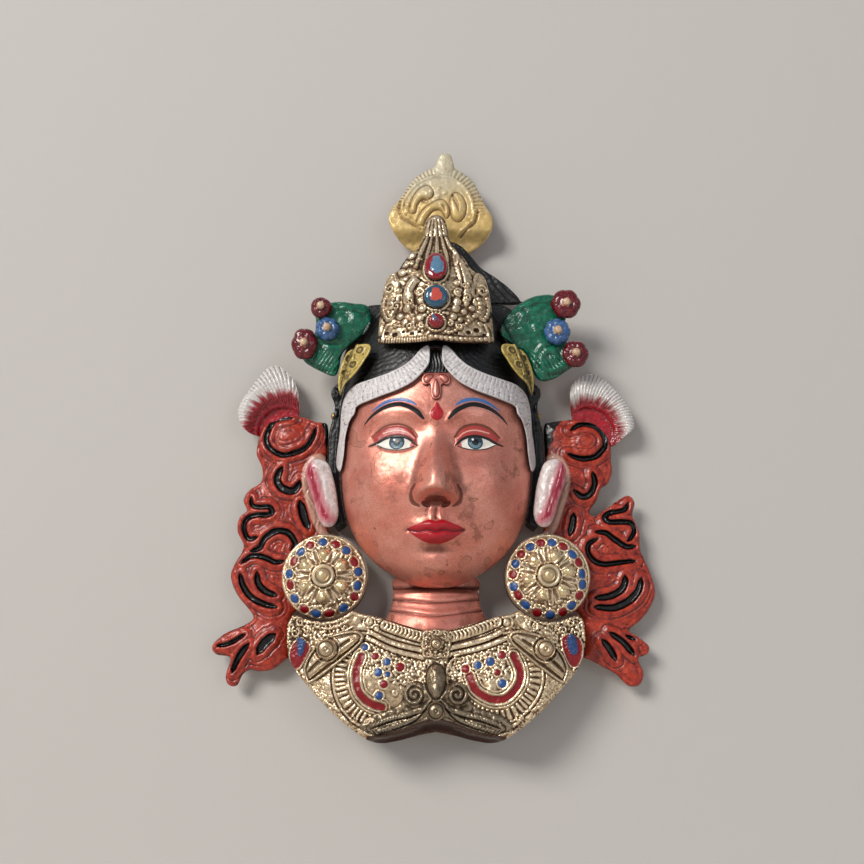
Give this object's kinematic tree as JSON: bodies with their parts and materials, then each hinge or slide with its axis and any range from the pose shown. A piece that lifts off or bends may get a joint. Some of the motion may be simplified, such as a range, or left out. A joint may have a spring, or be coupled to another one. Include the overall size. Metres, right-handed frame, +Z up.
{
  "type": "painted repousse wall mask",
  "caption": "Hammered copper wall mask of a crowned deity with painted scroll wings, disc earrings, a jewelled collar and a swinging hanging ring on the back.",
  "frame": {"origin": "centre of the back brace's rear face, which lies on the wall plane", "axes": "+Z up the mask towards the finial; +Y out of the back, into the wall; the face looks along -Y; +X to the viewer's right"},
  "size_m": [0.2054, 0.0589, 0.2863],
  "materials": {
    "copper": "clear-lacquered hammered copper with light tarnish",
    "gilding": "antique gilding, dark in the recesses",
    "black_paint": "gloss black paint on hammered copper",
    "vermilion_paint": "satin vermilion paint with black in the grooves",
    "green_paint": "gloss green paint",
    "crimson_paint": "gloss crimson paint",
    "blue_paint": "gloss blue paint",
    "white_paint": "satin off-white paint",
    "cream_yellow_paint": "satin pale yellow paint",
    "brass": "dull brass"
  },
  "bodies": {
    "mask": {"face_shell": "copper", "neck_shell": "copper", "hair_cap": "black_paint", "topknot": "black_paint", "crown": "gilding", "crown_jewel_top": "crimson_paint", "crown_jewel_middle": "blue_paint", "crown_jewel_bottom": "crimson_paint", "finial": "cream_yellow_paint", "hairband_left": "white_paint", "hairband_right": "white_paint", "temple_ornament_left": "cream_yellow_paint", "temple_ornament_right": "cream_yellow_paint", "leaf_left": "green_paint", "leaf_right": "green_paint", "flower_red_upper_left": "crimson_paint", "flower_blue_left": "blue_paint", "flower_red_lower_left": "crimson_paint", "flower_red_upper_right": "crimson_paint", "flower_blue_right": "blue_paint", "flower_red_lower_right": "crimson_paint", "flower_pin_red_upper_left": "brass", "flower_pin_blue_left": "brass", "flower_pin_red_lower_left": "brass", "flower_pin_red_upper_right": "brass", "flower_pin_blue_right": "brass", "flower_pin_red_lower_right": "brass", "wing_left": "vermilion_paint", "wing_right": "vermilion_paint", "fan_left": "white_paint", "fan_right": "white_paint", "ear_left": "white_paint", "ear_right": "white_paint", "earring_left": "gilding", "earring_right": "gilding", "earring_stud_left": "gilding", "earring_stud_right": "gilding", "breastplate": "gilding", "clasp": "gilding", "clasp_stud": "gilding", "pendant": "gilding", "pendant_stud": "gilding", "armlet_left": "gilding", "armlet_right": "gilding", "armlet_stud_left": "gilding", "armlet_stud_right": "gilding", "forehead_pendant": "copper", "back_brace": "brass", "hanger_brace": "brass", "brace_rivet_left": "brass", "brace_rivet_right": "brass", "hanger_rivet_left": "brass", "hanger_rivet_right": "brass", "hanger_staple": "brass", "staple_rivet_1": "brass", "staple_rivet_2": "brass"},
    "hanger": {"hanger_ring": "brass"}
  },
  "joints": [
    {"name": "ring_swing", "type": "hinge", "parent": "mask", "child": "hanger", "pos_m": [0, -0.0033, 0.0375], "axis": [1, 0, 0], "range_deg": [0, 170]}
  ]
}
